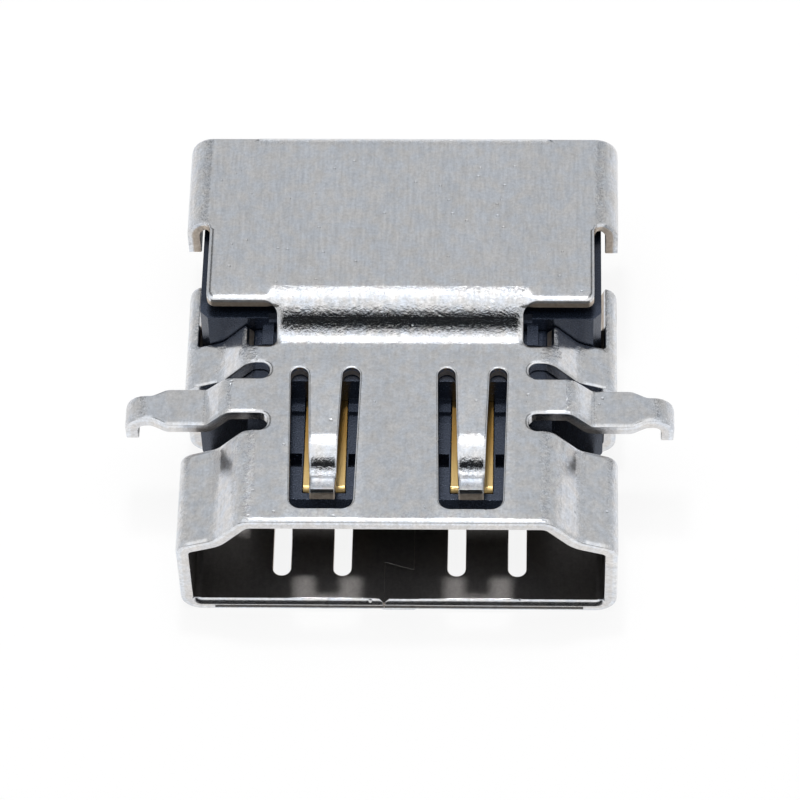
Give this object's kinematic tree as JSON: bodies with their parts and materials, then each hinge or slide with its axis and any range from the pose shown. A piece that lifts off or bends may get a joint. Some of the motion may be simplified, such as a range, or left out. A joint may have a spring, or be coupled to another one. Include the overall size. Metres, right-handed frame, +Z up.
{
  "type": "digital video socket",
  "caption": "Board-edge digital video socket: folded plated shell with D-shaped mouth, spring fingers and board wings, moulded tongue with two rows of contacts and a row of solder tails.",
  "frame": {"origin": "on the underside of the shell's floor, in the middle of the part's width and depth", "axes": "+X across the mouth to the right as seen from the front, +Y from the mouth back to the tails, +Z up"},
  "size_m": [0.0188, 0.0164, 0.0065],
  "materials": {
    "shell": "satin nickel plate",
    "housing": "moulded, satin",
    "spacer": "moulded, satin",
    "contact": "gold flash"
  },
  "bodies": {
    "root": {"shell": "shell", "housing": "housing", "tail_spacer": "spacer", "contact_01": "contact", "contact_02": "contact", "contact_03": "contact", "contact_04": "contact", "contact_05": "contact", "contact_06": "contact", "contact_07": "contact", "contact_08": "contact", "contact_09": "contact", "contact_10": "contact", "contact_11": "contact", "contact_12": "contact", "contact_13": "contact", "contact_14": "contact", "contact_15": "contact", "contact_16": "contact", "contact_17": "contact", "contact_18": "contact", "contact_19": "contact"}
  },
  "joints": []
}
